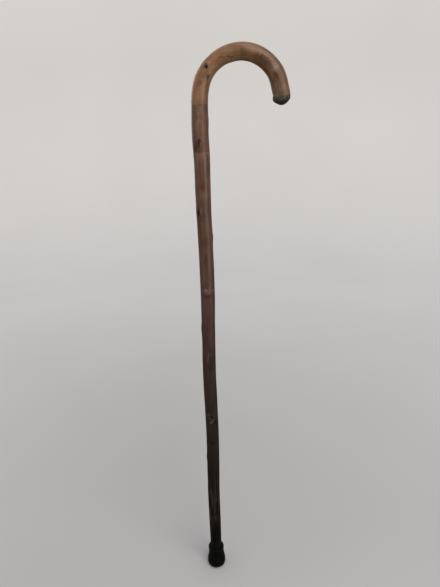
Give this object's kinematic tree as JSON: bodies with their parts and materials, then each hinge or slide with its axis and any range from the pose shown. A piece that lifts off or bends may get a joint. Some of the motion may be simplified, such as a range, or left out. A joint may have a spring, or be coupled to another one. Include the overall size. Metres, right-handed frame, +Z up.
{
  "type": "single point cane",
  "caption": "Crook-handled wooden walking stick, bent from one knotty tapering pole, with a push-on rubber ferrule at its foot.",
  "frame": {"origin": "centre of the flat base of the ferrule, where the cane meets the ground", "axes": "+Z up along the shaft, +X from the shaft towards the nose of the crook, +Y square to the plane of the crook"},
  "size_m": [0.1472, 0.0338, 0.9151],
  "materials": {
    "varnished_wood": "satin varnish over knotty wood, golden brown at the crook and nearly black at the foot",
    "black_rubber": "matt moulded black rubber",
    "washer_steel": "zinc-plated pressed steel"
  },
  "bodies": {
    "stick": {"wooden_stick": "varnished_wood"},
    "ferrule": {"rubber_ferrule": "black_rubber", "ferrule_washer": "washer_steel"}
  },
  "joints": [
    {"name": "ferrule_pull_off", "type": "slide", "parent": "ferrule", "child": "stick", "axis": [0, 0, 1], "range_m": [0, 0.04]}
  ]
}
